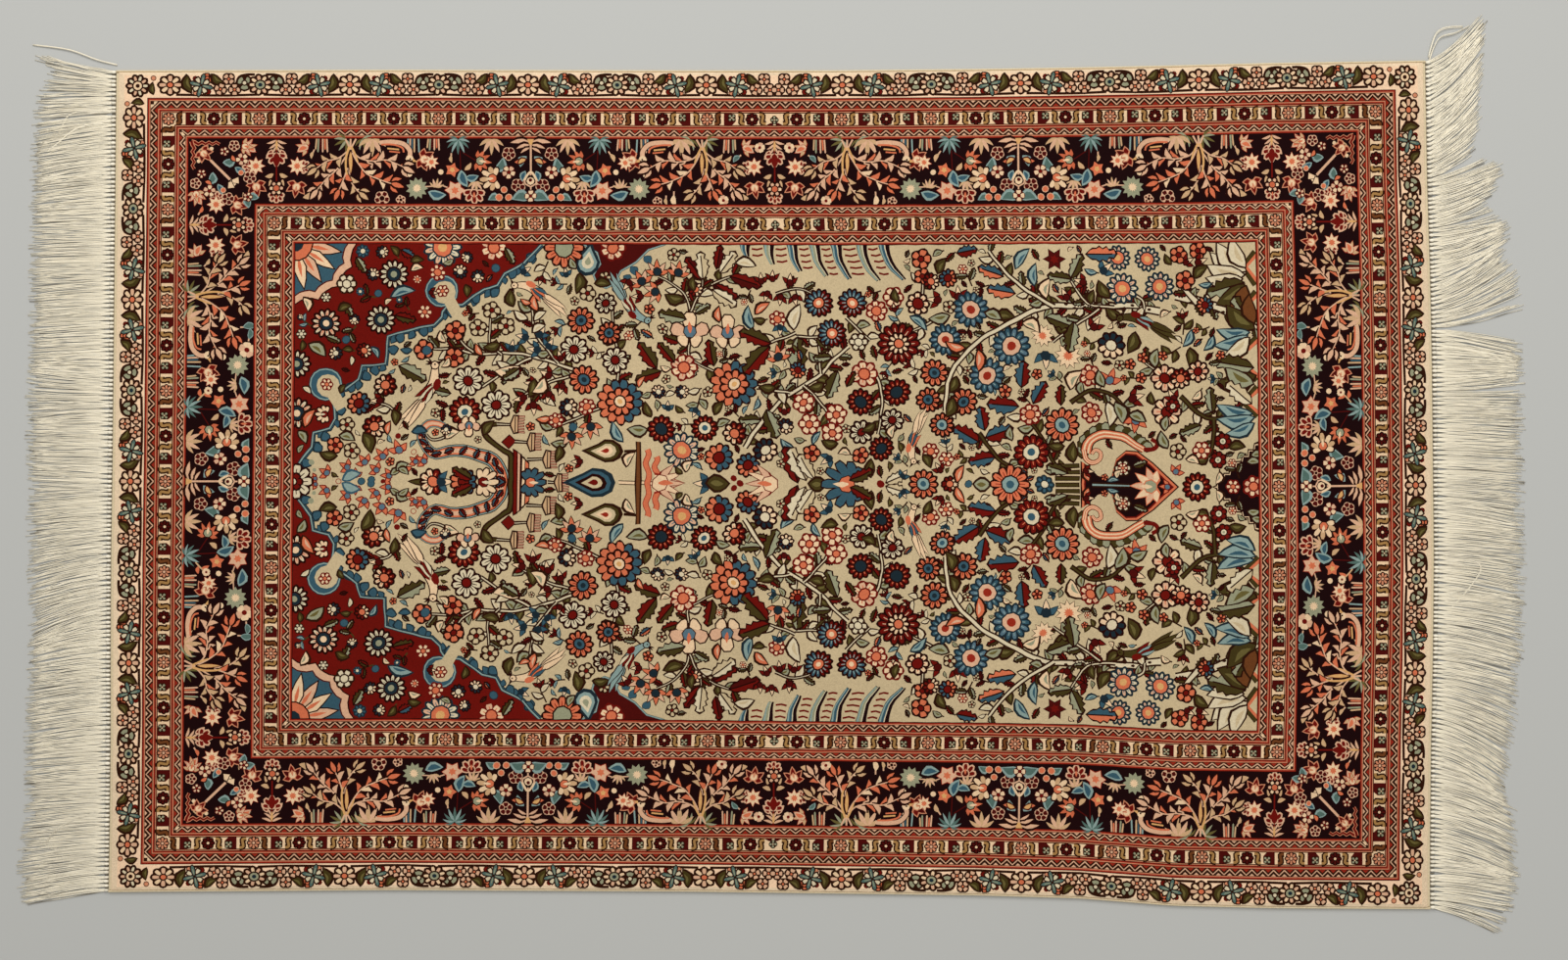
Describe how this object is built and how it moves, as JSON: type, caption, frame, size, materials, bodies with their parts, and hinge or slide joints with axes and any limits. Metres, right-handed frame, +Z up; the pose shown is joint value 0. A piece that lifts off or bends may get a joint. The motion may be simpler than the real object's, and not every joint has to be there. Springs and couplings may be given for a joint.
{
  "type": "silk rug",
  "caption": "Small flat hand-knotted silk rug with flatwoven ends and a knotted warp fringe along both short ends.",
  "frame": {"origin": "on the floor under the middle of the whole rug, fringes included", "axes": "+X along the rug's length, +Y across it, +Z up out of the pile"},
  "size_m": [1.4932, 0.9078, 0.004],
  "materials": {
    "silk_pile": "clipped silk pile with a soft sheen, knotted in a floral pattern",
    "warp_fringe": "undyed ivory silk warp ends, twisted and knotted at the root"
  },
  "bodies": {
    "root": {"rug_cloth": "silk_pile", "fringe_left": "warp_fringe", "fringe_right": "warp_fringe"}
  },
  "joints": []
}
